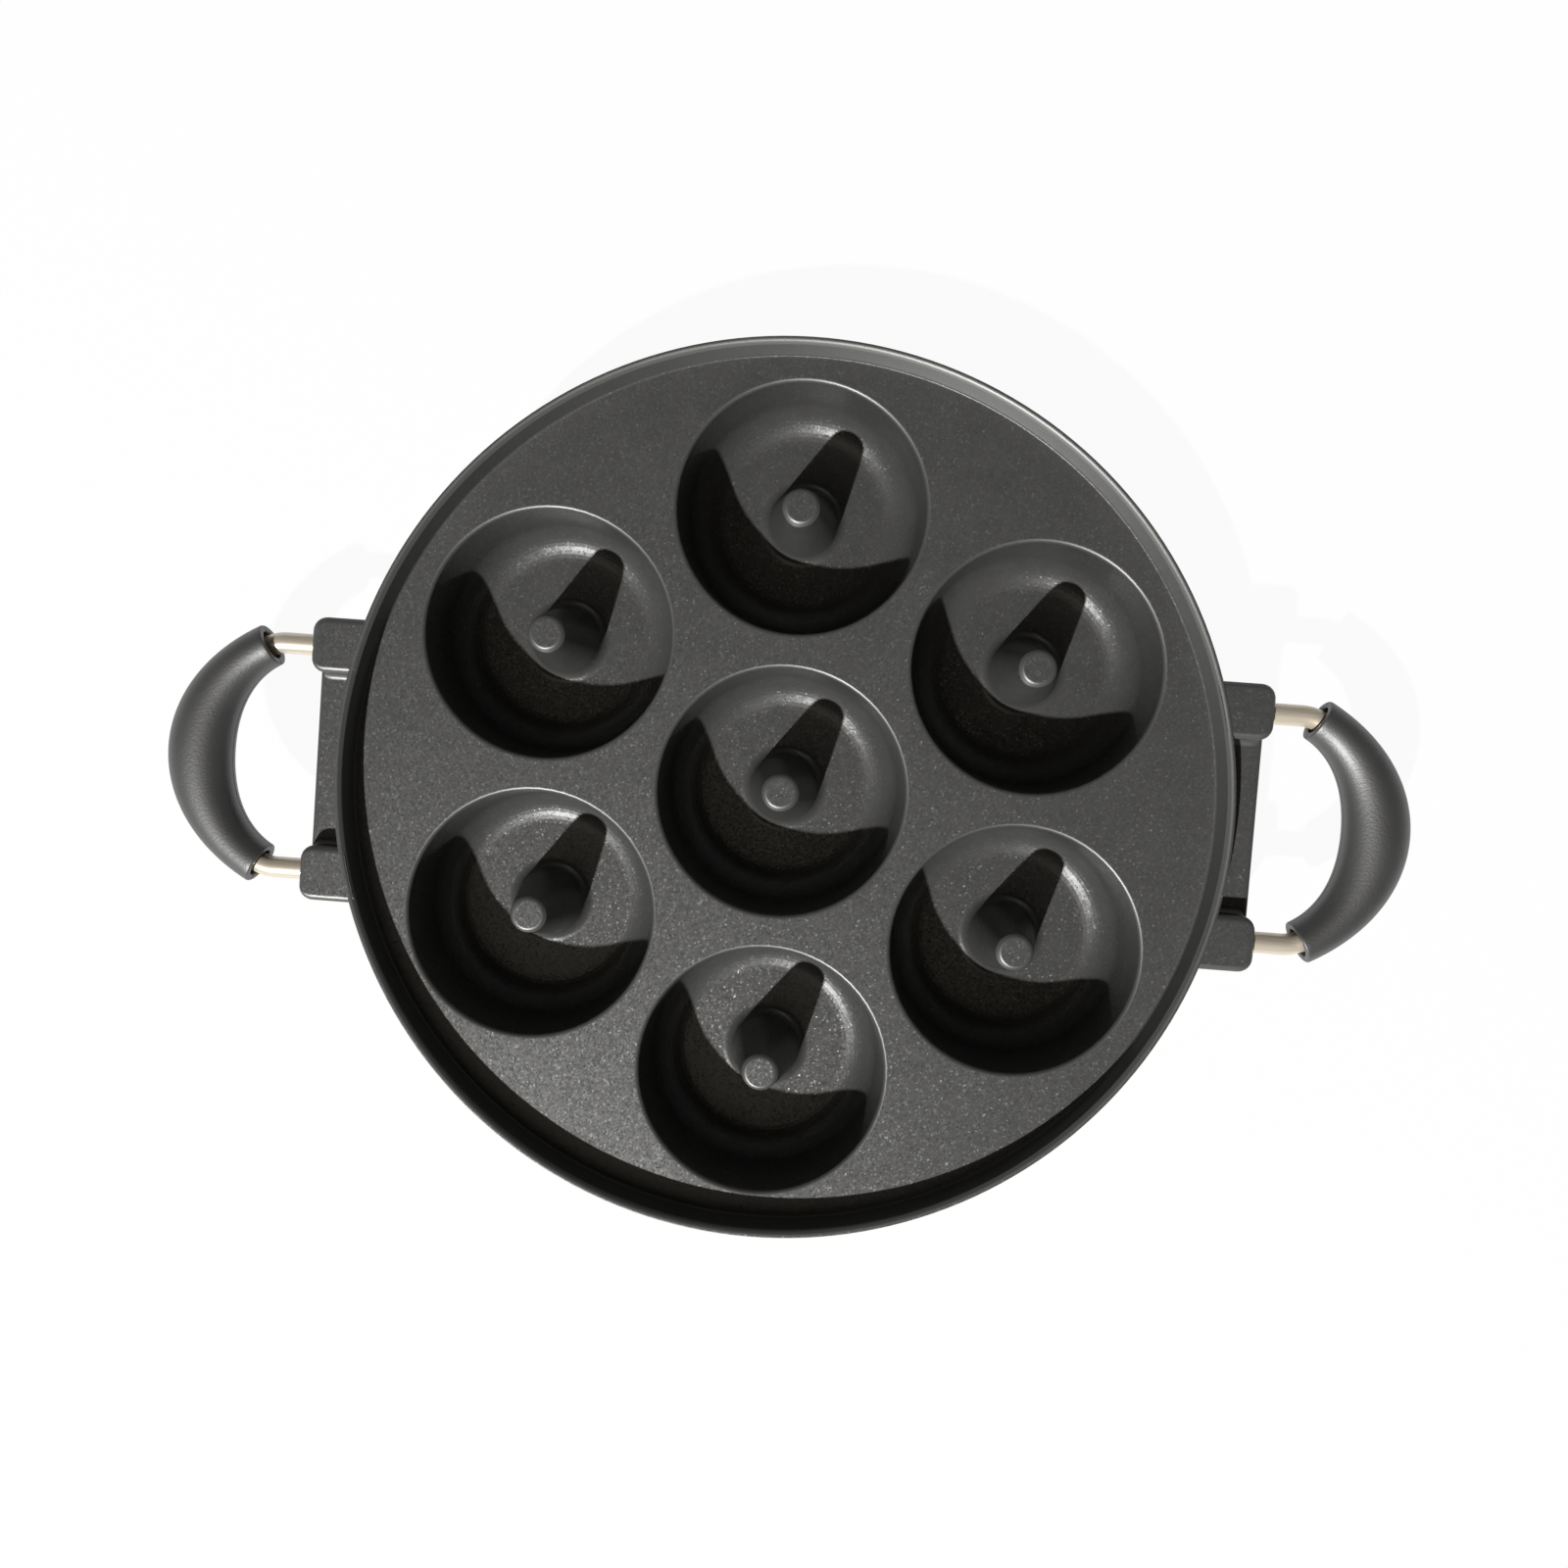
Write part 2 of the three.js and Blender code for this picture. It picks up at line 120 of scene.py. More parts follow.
# Handle wires
LEG_OFFSET = 32.0
WIRE_LEVEL = LUG_TOP - LUG_HEIGHT / 2
WIRE_RADIUS = 3.0
SOCKET_DEPTH = 10.0
SOCKET_CLEARANCE = 0.3
SOCKET_CHAMFER = 0.15
SOCKET_CHAMFER_DEPTH = 0.2
LOCK_PIN_HOLE = 1.3
LOCK_PIN_SETBACK = 5.0
LOCK_PIN_OVERRUN = 1.5
DRILL_START = 1.0
LEG_SHOWN = 9.4
BEND_START = LUG_NOSE + LEG_SHOWN
BEND_RADIUS = 12.0
BOW_RADIUS = 35.4
BOW_CENTRE = BEND_START - np.sqrt((BOW_RADIUS - BEND_RADIUS) ** 2 - (LEG_OFFSET - BEND_RADIUS) ** 2)

# Grips
GRIP_HALF_ANGLE = np.radians(62)
GRIP_END_SIZE = 12.2
GRIP_MIDDLE_WIDTH = 18.0
GRIP_MIDDLE_HEIGHT = 15.0
GRIP_WALL = 2.0
GRIP_EDGE_ROUND = 0.5
PARTING_GAP = 0.3
SCREW_WELL = 2.1
SCREW_OFFSET = 5.4
SCREW_BOW_RADIUS = BOW_RADIUS + SCREW_OFFSET
SCREW_ANGLE = np.radians(17)
SCREW_GRIP = 2.0

# How finely the surfaces are divided
ARC_COLUMNS = 16     # per half cup, along the rim
SIDE_COLUMNS = 14    # per half cup, along a neighbouring outer cup
INNER_COLUMNS = 6    # per half cup, along the middle cup
LAND_ROWS = np.array([0.04, 0.3, 0.65, 0.96, 1.0])    # shares of the plate between a cup and its cell's edge
LUG_ROWS = np.array([0.0, 0.5, 0.94])                 # shares of a lug's straight part
NOSE_FACE_ROWS = np.array([0.3, 0.7, 0.95])           # shares of the way from a nose's edge to its socket
NOSE_ROWS = 9
SOCKET_SUPPORT = 0.5
WEB_ROWS = 33
FOOT_FILLET_POINTS = 7
FOOT_FILLET_ROWS = 17
LEG_POINTS = 12
BEND_POINTS = 14
HALF_BOW_POINTS = 36
WIRE_COLUMNS = 32
HOLE_COLUMNS = 32
GRIP_ROWS = 97
GRIP_EDGE_ROWS = 5
GRIP_COLUMNS = 33
MERGE_DISTANCE = 0.002
SHARP_ANGLE = np.radians(40)


# Lines and grids of points

def unit(vector):
    """The vector at length 1."""
    return vector / np.linalg.norm(vector)


def rounded_line(corners):
    """A line through corners (x, y, radius, steps). A corner with a radius becomes an arc that touches both
    of its sides: its centre is on the corner's bisector, radius / sin(half the corner's angle) away."""
    places = np.array([corner[:2] for corner in corners], float)
    runs = []
    for i, corner in enumerate(corners):
        here = places[i]
        if len(corner) == 2:
            runs.append(here[None])
            continue
        radius, steps = corner[2:]
        before = unit(places[i - 1] - here)
        after = unit(places[(i + 1) % len(places)] - here)
        half = np.arccos(before @ after) / 2
        centre = here + unit(before + after) * radius / np.sin(half)
        start = here + before * radius / np.tan(half) - centre
        side = np.sign(before[0] * after[1] - before[1] * after[0])
        turn = -side * (np.pi - 2 * half) * np.linspace(0, 1, steps + 1)
        x = np.cos(turn) * start[0] - np.sin(turn) * start[1]
        y = np.sin(turn) * start[0] + np.cos(turn) * start[1]
        runs.append(centre + np.stack([x, y], 1))
    return np.concatenate(runs)


def supported(line, margin=0.25, closed=False):
    """The line with three more points on every long straight run, one half way and one a margin in from each
    end, so that smooth shading keeps the run flat."""
    ends = np.roll(line, -1, 0) if closed else line[1:]
    starts = line if closed else line[:-1]
    runs = []
    for start, end in zip(starts, ends):
        length = np.linalg.norm(end - start)
        share = np.array([0.0])
        if length > 4 * margin:
            share = np.array([0.0, margin / length, 0.5, 1 - margin / length])
        runs.append(start + share[:, None] * (end - start))
    if not closed:
        runs.append(line[-1:])
    return np.concatenate(runs)


def turned(line, directions, centre=(0.0, 0.0)):
    """A grid: a line of (radius, height) points turned through the given directions about a vertical axis."""
    radius, height = line[:, 0, None], line[:, 1, None]
    x = centre[0] + radius * np.cos(directions)
    y = centre[1] + radius * np.sin(directions)
    return np.stack([x, y, np.broadcast_to(height, x.shape)], -1)


def capped(grid):
    """The grid with its first and last rows closed by a row drawn together at that row's middle."""
    first = np.broadcast_to(grid[:1].mean(1, keepdims=True), grid[:1].shape)
    last = np.broadcast_to(grid[-1:].mean(1, keepdims=True), grid[-1:].shape)
    return np.concatenate([first, grid, last])


# Meshes and pieces

def solid(name, grids):
    """A mesh of quads between neighbouring points of each (grid, closed round) pair. Points that meet are
    merged, so poles, seams and shared edges close, and the faces are turned outwards."""
    points, quads, count = [], [], 0
    for grid, around in grids:
        index = np.arange(grid.shape[0] * grid.shape[1]).reshape(grid.shape[:2]) + count
        count += index.size
        if around:
            index = np.concatenate([index, index[:, :1]], 1)
        corners = [index[:-1, :-1], index[:-1, 1:], index[1:, 1:], index[1:, :-1]]
        quads.append(np.stack(corners, -1).reshape(-1, 4))
        points.append(grid.reshape(-1, 3))
    points = np.concatenate(points) * MM
    quads = np.concatenate(quads)
    mesh = bpy.data.meshes.new(name)
    mesh.vertices.add(len(points))
    mesh.vertices.foreach_set("co", points.ravel())
    mesh.loops.add(quads.size)
    mesh.loops.foreach_set("vertex_index", quads.ravel())
    mesh.polygons.add(len(quads))
    mesh.polygons.foreach_set("loop_start", np.arange(0, quads.size, 4))
    mesh.update(calc_edges=True)
    work = bmesh.new()
    work.from_mesh(mesh)
    bmesh.ops.remove_doubles(work, verts=work.verts, dist=MERGE_DISTANCE * MM)
    bmesh.ops.recalc_face_normals(work, faces=work.faces)
    work.to_mesh(mesh)
    work.free()
    return mesh


def hole(radius, bottom, top, centre):
    """A round upright cutter: a line of four points turned about its axis."""
    line = np.array([(0, bottom), (radius, bottom), (radius, top), (0, top)])
    directions = np.arange(HOLE_COLUMNS) * 2 * np.pi / HOLE_COLUMNS
    return solid("hole", [(turned(line, directions, centre), True)])


def drilled(mesh, *cutters):
    """The mesh with the cutters taken out of it."""
    linked = bpy.context.scene.collection.objects
    body = bpy.data.objects.new(mesh.name, mesh)
    linked.link(body)
    spare = [body]
    for cutter in cutters:
        tool = bpy.data.objects.new(cutter.name, cutter)
        linked.link(tool)
        cut = body.modifiers.new(cutter.name, "BOOLEAN")
        cut.object = tool
        cut.solver = "EXACT"
        spare.append(tool)
    graph = bpy.context.evaluated_depsgraph_get()
    made = bpy.data.meshes.new_from_object(body.evaluated_get(graph))
    for thing in spare:
        used = thing.data
        bpy.data.objects.remove(thing)
        bpy.data.meshes.remove(used)
    return made


def piece(name, meshes, material, slot, *nodes):
    """One object from the given meshes, riding on the pan, in place of the named solids. It is shaded smooth
    but for its sharp edges."""
    work = bmesh.new()
    for mesh in meshes:
        work.from_mesh(mesh)
        bpy.data.meshes.remove(mesh)
    whole = bpy.data.meshes.new(name)
    work.to_mesh(whole)
    work.free()
    whole.shade_smooth()
    whole.set_sharp_from_angle(angle=SHARP_ANGLE)
    whole.materials.append(material)
    made = bpy.data.objects.new(name, whole)
    bpy.context.scene.collection.objects.link(made)
    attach(made, "root")
    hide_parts(*nodes)


# Materials

def linear(hex_colour):
    """Linear RGBA from an sRGB hex value."""
    srgb = np.array([int(hex_colour[i:i + 2], 16) for i in (1, 3, 5)]) / 255
    rgb = np.where(srgb <= 0.04045, srgb / 12.92, ((srgb + 0.055) / 1.055) ** 2.4)
    return (*rgb.tolist(), 1.0)


def node(tree, kind, links=None, stops=(), **settings):
    """Adds a node. Settings name its properties or, where it has none of that name, its input sockets by name
    or number ("in_0"); links maps an input to the output socket that feeds it; stops are a colour ramp's
    (position, hex colour or grey) pairs."""
    made = tree.nodes.new(kind)
    for key, value in settings.items():
        if hasattr(made, key):
            setattr(made, key, value)
        else:
            made.inputs[int(key[3:]) if key.startswith("in_") else key].default_value = value
    for key, output in (links or {}).items():
        tree.links.new(output, made.inputs[key])
    if stops:
        elements = made.color_ramp.elements
        while len(elements) < len(stops):
            elements.new(0.5)
        for element, (position, colour) in zip(elements, stops):
            element.position = position
            element.color = linear(colour) if isinstance(colour, str) else (colour, colour, colour, 1)
    return made


def new_material(name):
    """An empty node material with its shader and the piece's own coordinates in metres."""
    material = bpy.data.materials.new(name)
    material.use_nodes = True
    tree = material.node_tree
    tree.nodes.clear()
    shader = node(tree, "ShaderNodeBsdfPrincipled")
    node(tree, "ShaderNodeOutputMaterial", {"Surface": shader.outputs["BSDF"]})
    place = node(tree, "ShaderNodeTexCoord").outputs["Object"]
    return material, tree, shader, place


def per_metre(millimetres):
    """Texture scale at which one cell of a pattern is this many millimetres."""
    return 1 / (millimetres * MM)


# Where the coating changes. A share is the Z of a surface's normal, and pairs are (share, amount).
CUP_MOUTH_LOW = 27.5
CUP_MOUTH_HIGH = 28.5
PLATE_SKIM_LOW = PLATE_TOP + 0.2
PLATE_SKIM_HIGH = PLATE_TOP + 0.5
SKIN_EDGE_INNER = PLATE_RADIUS + 0.7 * RIM_WALL
SKIN_EDGE_OUTER = PLATE_RADIUS + 0.8 * RIM_WALL
FOOT_MIDDLE = PLATE_TOP + RIM_FOOT_FILLET / 2
FOOT_REACH = 0.48 * RIM_FOOT_FILLET
LEVEL_SHARE = 0.995
BENT_SHARES = ((0.2, 0.0), (0.4, 1.0), (0.975, 1.0), (LEVEL_SHARE, 0.0))
STEEP_SHARES = ((0.35, 1.0), (0.8, 0.0))
RISE_END_SHARE = 0.8

# How the coating looks
FLECK_SIZE = 0.5            # really about 0.2 mm; drawn coarser, so that it shows at the picture's scale
FLECK_RARITY = 4.0          # the power that leaves few strong flecks
FLECK_TILT = 0.43
GRAIN_TILT = 0.08
CURVED_TILT_SHARE = 0.5     # of the tilt on level surfaces
EDGE_TILT_LOSS = 0.4
WALL_TILT_LOSS = 0.45
FOOT_COVER = 0.9            # how well the coating covers the rim's foot
EDGE_METAL = 0.64
EDGE_RISE = 1.05            # how far an edge's normal leans upwards where it is upright
COATING_ROUGHNESS = 0.37
PLATE_ADDED_ROUGHNESS = 0.09
EDGE_ADDED_ROUGHNESS = 0.06
SKIN_WEIGHT = 0.38
SKIN_RISE = 1.73            # how far the skin's normal leans upwards
SKIN_ROUGHNESS = 0.435


def flecked_coating():
    """Sprayed non-stick coating on die-cast aluminium: dark grey and satin. Its flecks lie at different
    tilts, which gives it a grain that glints pale near the lamp's mirror image. Edges, where the coating is
    thin, let metal shine through. The inside of the rim wall and the sides of the pins' tops have a clear
    skin whose grain leans upwards, so that from above they flare where they face the lamp."""
    material, tree, shader, place = new_material("flecked_nonstick_on_cast_aluminium")

    # Masks by height, distance from the pan's axis and normal
    height = node(tree, "ShaderNodeSeparateXYZ", {"Vector": place}).outputs["Z"]
    across = node(tree, "ShaderNodeVectorMath", {0: place}, operation="MULTIPLY", in_1=(1, 1, 0)).outputs[0]
    radius = node(tree, "ShaderNodeVectorMath", {0: across}, operation="LENGTH").outputs["Value"]
    normal = node(tree, "ShaderNodeNewGeometry").outputs["Normal"]
    upward = node(tree, "ShaderNodeSeparateXYZ", {"Vector": normal}).outputs["Z"]
    outside_cups = node(tree, "ShaderNodeMapRange", {"Value": height},
                        in_1=CUP_MOUTH_LOW * MM, in_2=CUP_MOUTH_HIGH * MM).outputs[0]
    above_plate = node(tree, "ShaderNodeMapRange", {"Value": height},
                       in_1=PLATE_SKIM_LOW * MM, in_2=PLATE_SKIM_HIGH * MM).outputs[0]
    inside_rim = node(tree, "ShaderNodeMapRange", {"Value": radius}, in_1=SKIN_EDGE_INNER * MM,
                      in_2=SKIN_EDGE_OUTER * MM, in_3=SKIN_WEIGHT, in_4=0.0).outputs[0]
    bent = node(tree, "ShaderNodeValToRGB", {"Fac": upward}, stops=BENT_SHARES).outputs[0]
    steep = node(tree, "ShaderNodeValToRGB", {"Fac": upward}, stops=STEEP_SHARES).outputs[0]
    level = node(tree, "ShaderNodeMath", {0: upward}, operation="GREATER_THAN", in_1=LEVEL_SHARE).outputs[0]
    foot = node(tree, "ShaderNodeMath", {0: height}, operation="COMPARE",
                in_1=FOOT_MIDDLE * MM, in_2=FOOT_REACH * MM).outputs[0]
    thin = node(tree, "ShaderNodeMath", {0: foot, 2: bent}, operation="MULTIPLY_ADD",
                in_1=-FOOT_COVER, use_clamp=True).outputs[0]
    edge = node(tree, "ShaderNodeMath", {0: outside_cups, 1: thin}, operation="MULTIPLY").outputs[0]
    upright = node(tree, "ShaderNodeMath", {0: above_plate, 1: steep}, operation="MULTIPLY").outputs[0]
    skin = node(tree, "ShaderNodeMath", {0: upright, 1: inside_rim}, operation="MULTIPLY").outputs[0]
    plate = node(tree, "ShaderNodeMath", {0: outside_cups, 1: level}, operation="MULTIPLY").outputs[0]

    # Flecks, each with a random colour that gives its strength and its tilt
    flecks = node(tree, "ShaderNodeTexVoronoi", {"Vector": place},
                  Scale=per_metre(FLECK_SIZE)).outputs["Color"]
    pick = node(tree, "ShaderNodeSeparateColor", {"Color": flecks}).outputs["Blue"]
    strong = node(tree, "ShaderNodeMath", {0: pick}, operation="POWER", in_1=FLECK_RARITY).outputs[0]
    free_tilt = node(tree, "ShaderNodeMath", {0: level}, operation="MULTIPLY_ADD",
                     in_1=1 - CURVED_TILT_SHARE, in_2=CURVED_TILT_SHARE).outputs[0]
    edge_tilt = node(tree, "ShaderNodeMath", {0: edge, 2: free_tilt}, operation="MULTIPLY_ADD",
                     in_1=-EDGE_TILT_LOSS).outputs[0]
    tilt_share = node(tree, "ShaderNodeMath", {0: upright, 2: edge_tilt}, operation="MULTIPLY_ADD",
                      in_1=-WALL_TILT_LOSS, use_clamp=True).outputs[0]
    full_tilt = node(tree, "ShaderNodeMath", {0: strong}, operation="MULTIPLY_ADD",
                     in_1=FLECK_TILT, in_2=GRAIN_TILT).outputs[0]
    tilt = node(tree, "ShaderNodeMath", {0: full_tilt, 1: tilt_share}, operation="MULTIPLY").outputs[0]
    way = node(tree, "ShaderNodeVectorMath", {0: flecks}, operation="SUBTRACT",
               in_1=(0.5, 0.5, 0.5)).outputs[0]
    lean = node(tree, "ShaderNodeVectorMath", {0: way, "Scale": tilt}, operation="SCALE").outputs[0]

    # Colour and gloss
    mottle = node(tree, "ShaderNodeTexNoise", {"Vector": place},
                  Scale=per_metre(9), Detail=3.0, Roughness=0.6).outputs["Fac"]
    grey = node(tree, "ShaderNodeValToRGB", {"Fac": mottle},
                stops=((0.3, "#3d3c3b"), (0.7, "#434241"))).outputs[0]
    flecked = node(tree, "ShaderNodeMix", {0: strong, 6: grey}, data_type="RGBA",
                   in_7=linear("#424644")).outputs[2]
    worn = node(tree, "ShaderNodeMix", {0: edge, 6: flecked}, data_type="RGBA",
                in_7=linear("#686866")).outputs[2]
    metal = node(tree, "ShaderNodeMath", {0: edge}, operation="MULTIPLY", in_1=EDGE_METAL).outputs[0]
    plate_rough = node(tree, "ShaderNodeMath", {0: plate}, operation="MULTIPLY_ADD",
                       in_1=PLATE_ADDED_ROUGHNESS, in_2=COATING_ROUGHNESS).outputs[0]
    rough = node(tree, "ShaderNodeMath", {0: edge, 2: plate_rough}, operation="MULTIPLY_ADD",
                 in_1=EDGE_ADDED_ROUGHNESS).outputs[0]
    tree.links.new(worn, shader.inputs["Base Color"])
    tree.links.new(metal, shader.inputs["Metallic"])
    tree.links.new(rough, shader.inputs["Roughness"])
    shader.inputs["Specular IOR Level"].default_value = 0.5

    # Normals: flecks lean any way, thin edges above the plate lean upwards
    lower = node(tree, "ShaderNodeMapRange", {"Value": upward},
                 in_1=0.0, in_2=RISE_END_SHARE, in_3=EDGE_RISE, in_4=0.0).outputs[0]
    lifted = node(tree, "ShaderNodeMath", {0: above_plate, 1: thin}, operation="MULTIPLY").outputs[0]
    rise = node(tree, "ShaderNodeMath", {0: lower, 1: lifted}, operation="MULTIPLY").outputs[0]
    upwards = node(tree, "ShaderNodeCombineXYZ", {"Z": rise}).outputs[0]
    leaning = node(tree, "ShaderNodeVectorMath", {0: normal, 1: lean}, operation="ADD").outputs[0]
    risen = node(tree, "ShaderNodeVectorMath", {0: leaning, 1: upwards}, operation="ADD").outputs[0]
    facing = node(tree, "ShaderNodeVectorMath", {0: risen}, operation="NORMALIZE").outputs[0]
    tree.links.new(facing, shader.inputs["Normal"])

    # The clear skin on upright surfaces inside the rim
    skin_risen = node(tree, "ShaderNodeVectorMath", {0: normal}, operation="ADD",
                      in_1=(0, 0, SKIN_RISE)).outputs[0]
    skin_facing = node(tree, "ShaderNodeVectorMath", {0: skin_risen}, operation="NORMALIZE").outputs[0]
    tree.links.new(skin, shader.inputs["Coat Weight"])
    tree.links.new(skin_facing, shader.inputs["Coat Normal"])
    shader.inputs["Coat Roughness"].default_value = SKIN_ROUGHNESS
    return material


def drawn_steel():
    """Drawn and dulled stainless wire: pale, slightly warm, half mirror and half matte, with fine lines along
    the draw."""
    material, tree, shader, place = new_material("drawn_stainless_wire")
    line_width = 0.5    # really about 0.1 mm; drawn coarser, so that the lines show at the picture's scale
    slimness = 0.04     # a line's width over its length, along X as the legs run
    drawn_out = node(tree, "ShaderNodeMapping", {"Vector": place}, Scale=(slimness, 1, 1)).outputs["Vector"]
    lines = node(tree, "ShaderNodeTexNoise", {"Vector": drawn_out},
                 Scale=per_metre(line_width), Detail=2.0).outputs["Fac"]
    colour = node(tree, "ShaderNodeValToRGB", {"Fac": lines}, stops=((0.3, "#d2c4ae"), (0.7, "#e4dac9")))
    rough = node(tree, "ShaderNodeMapRange", {"Value": lines}, in_1=0.3, in_2=0.7, in_3=0.42, in_4=0.32)
    tree.links.new(colour.outputs[0], shader.inputs["Base Color"])
    tree.links.new(rough.outputs[0], shader.inputs["Roughness"])
    shader.inputs["Metallic"].default_value = 0.5
    return material


def moulded_plastic():
    """Moulded phenolic grip: dark grey, satin, with the fine even grain of a spark-eroded mould."""
    material, tree, shader, place = new_material("satin_moulded_phenolic")
    grain_width = 0.7    # really about 0.2 mm; drawn coarser, so that the grain shows at the picture's scale
    cloud = node(tree, "ShaderNodeTexNoise", {"Vector": place},
                 Scale=per_metre(14), Detail=3.0).outputs["Fac"]
    grain = node(tree, "ShaderNodeTexNoise", {"Vector": place},
                 Scale=per_metre(grain_width), Detail=2.0).outputs["Fac"]
    colour = node(tree, "ShaderNodeValToRGB", {"Fac": cloud}, stops=((0.3, "#323231"), (0.7, "#3a3a39")))
    bump = node(tree, "ShaderNodeBump", {"Height": grain}, Strength=0.3, Distance=0.2 * MM)
    tree.links.new(colour.outputs[0], shader.inputs["Base Color"])
    tree.links.new(bump.outputs["Normal"], shader.inputs["Normal"])
    shader.inputs["Roughness"].default_value = 0.48
    shader.inputs["Specular IOR Level"].default_value = 1.0
    shader.inputs["IOR"].default_value = 1.65
    return material


def zinc_plate():
    """Zinc-plated fastener steel: pale grey metal with a faint crystalline mottle."""
    material, tree, shader, place = new_material("zinc_plated_steel")
    mottle = node(tree, "ShaderNodeTexVoronoi", {"Vector": place}, Scale=per_metre(0.4)).outputs["Distance"]
    colour = node(tree, "ShaderNodeValToRGB", {"Fac": mottle}, stops=((0.1, "#a9abac"), (0.7, "#c3c4c2")))
    tree.links.new(colour.outputs[0], shader.inputs["Base Color"])
    shader.inputs["Metallic"].default_value = 1.0
    shader.inputs["Roughness"].default_value = 0.38
    return material


# The casting

def outer_cell(reach):
    """Directions from an outer cup's axis, and how far its share of the plate reaches in each: to the rim's
    circle of radius reach, to the line half way to each neighbour, and to the line half way to the middle
    cup. The cup is at azimuth 0, and the second half mirrors the first."""
    neighbour = np.radians(120)
    corner = np.radians(150)
    azimuth = np.linspace(0, np.pi / 6, ARC_COLUMNS + 1)
    x = reach * np.cos(azimuth) - CUP_RING_RADIUS
    y = reach * np.sin(azimuth)
    side = np.linspace(np.arctan2(y[-1], x[-1]), corner, SIDE_COLUMNS + 1)[1:]
    inner = np.linspace(corner, np.pi, INNER_COLUMNS + 1)[1:]
    half = np.concatenate([np.arctan2(y, x), side, inner])
    far = np.concatenate([
        np.hypot(x, y),
        HALF_PITCH / np.cos(side - neighbour),
        HALF_PITCH / np.cos(inner - np.pi),
    ])
    return np.concatenate([half, -half[-2:0:-1]]), np.concatenate([far, far[-2:0:-1]])


def middle_cell():
    """Directions and reach of the middle cup's share of the plate: a hexagon half way to the six outer
    cups."""
    directions = np.arange(12 * INNER_COLUMNS) * np.pi / (6 * INNER_COLUMNS)
    return directions, HALF_PITCH / np.cos((directions % (np.pi / 3)) - np.pi / 6)


def cell(line, directions, far, centre):
    """A cup and its share of the plate: the line of (distance from the axis, height) points turned about the
    cup's axis, then level from its last point out to the reach in each direction."""
    cup = turned(line, directions, centre)
    distance = line[-1, 0] + LAND_ROWS[:, None] * (far - line[-1, 0])
    x = centre[0] + distance * np.cos(directions)
    y = centre[1] + distance * np.sin(directions)
    land = np.stack([x, y, np.full(x.shape, line[-1, 1])], -1)
    return np.concatenate([cup, land])


def cells(line, reach):
    """The seven cells that make up one face of the plate."""
    directions, far = outer_cell(reach)
    grids = [cell(line, *middle_cell(), (0.0, 0.0))]
    for azimuth in CUP_AZIMUTHS:
        centre = CUP_RING_RADIUS * np.array([np.cos(azimuth), np.sin(azimuth)])
        grids.append(cell(line, directions + azimuth, far, centre))
    return [(grid, True) for grid in grids]


def rim_radius(height, thickness=0.0):
    """The rim wall's radius at a height: its inner face leans outwards by its slope, and the thickness leads
    to its outer face."""
    return PLATE_RADIUS + (height - PLATE_TOP) * RIM_SLOPE + thickness


def casting_mesh():
    """The plate with its cups above, their bulges and hollow pins below, and the rim wall that joins both
    faces."""
    floor = PLATE_TOP - CUP_DEPTH
    pin_top = PLATE_TOP + PIN_TOP_RISE
    above = supported(rounded_line([
        (0, pin_top),
        (PIN_TOP_RADIUS, pin_top, PIN_EDGE_ROUND, 9),
        (PIN_BASE_RADIUS, floor, PIN_BASE_FILLET, 6),
        (LIP_RADIUS - CUP_DEPTH * CUP_SLOPE, floor, FLOOR_FILLET, 12),
        (LIP_RADIUS, PLATE_TOP, LIP_ROUND, 9),
        (LIP_RADIUS + 2 * LIP_ROUND, PLATE_TOP),
    ]))
    underside = PLATE_TOP - PLATE_THICKNESS
    core_top = pin_top - PIN_WALL
    pin_slope = (PIN_BASE_RADIUS - PIN_TOP_RADIUS) / (pin_top - floor)
    core_radius = PIN_TOP_RADIUS - PIN_WALL * np.hypot(1, pin_slope)
    bulge = LIP_RADIUS + CASTING_WALL / np.cos(np.arctan(CUP_SLOPE)) - PLATE_TOP * CUP_SLOPE
    below = supported(rounded_line([
        (0, core_top),
        (core_radius + (pin_top - core_top) * pin_slope, core_top, CORE_TOP_FILLET, 3),
        (core_radius + pin_top * pin_slope, 0, CORE_MOUTH_ROUND, 3),
        (bulge, 0, FLOOR_FILLET + CASTING_WALL, 8),
        (bulge + underside * CUP_SLOPE, underside, BULGE_ROOT_FILLET, 4),
        (bulge + underside * CUP_SLOPE + BULGE_LAND, underside),
    ]))
    rim = supported(rounded_line([
        (PLATE_RADIUS - RIM_FOOT_LAND, PLATE_TOP),
        (rim_radius(PLATE_TOP), PLATE_TOP, RIM_FOOT_FILLET, 5),
        (rim_radius(RIM_TOP), RIM_TOP, RIM_INNER_ROUND, 8),
        (rim_radius(RIM_TOP, RIM_WALL), RIM_TOP, RIM_OUTER_ROUND, 3),
        (rim_radius(SKIRT_BOTTOM, RIM_WALL), SKIRT_BOTTOM, SKIRT_ROUND, 3),
        (rim_radius(SKIRT_BOTTOM), SKIRT_BOTTOM, SKIRT_ROUND, 3),
        (rim_radius(underside), underside, SKIRT_ROOT_FILLET, 3),
        (rim_radius(underside) - SKIRT_ROOT_LAND, underside),
    ]))
    around = np.arange(12 * ARC_COLUMNS) * np.pi / (6 * ARC_COLUMNS)
    grids = cells(above, rim[0, 0]) + cells(below, rim[-1, 0]) + [(turned(rim, around), True)]
    return solid("casting", grids)


# Ears, made on the +X side

def root_of_ear(y):
    """Where an ear starts, inside the rim wall."""
    return np.sqrt(LUG_ROOT_RADIUS ** 2 - y ** 2)


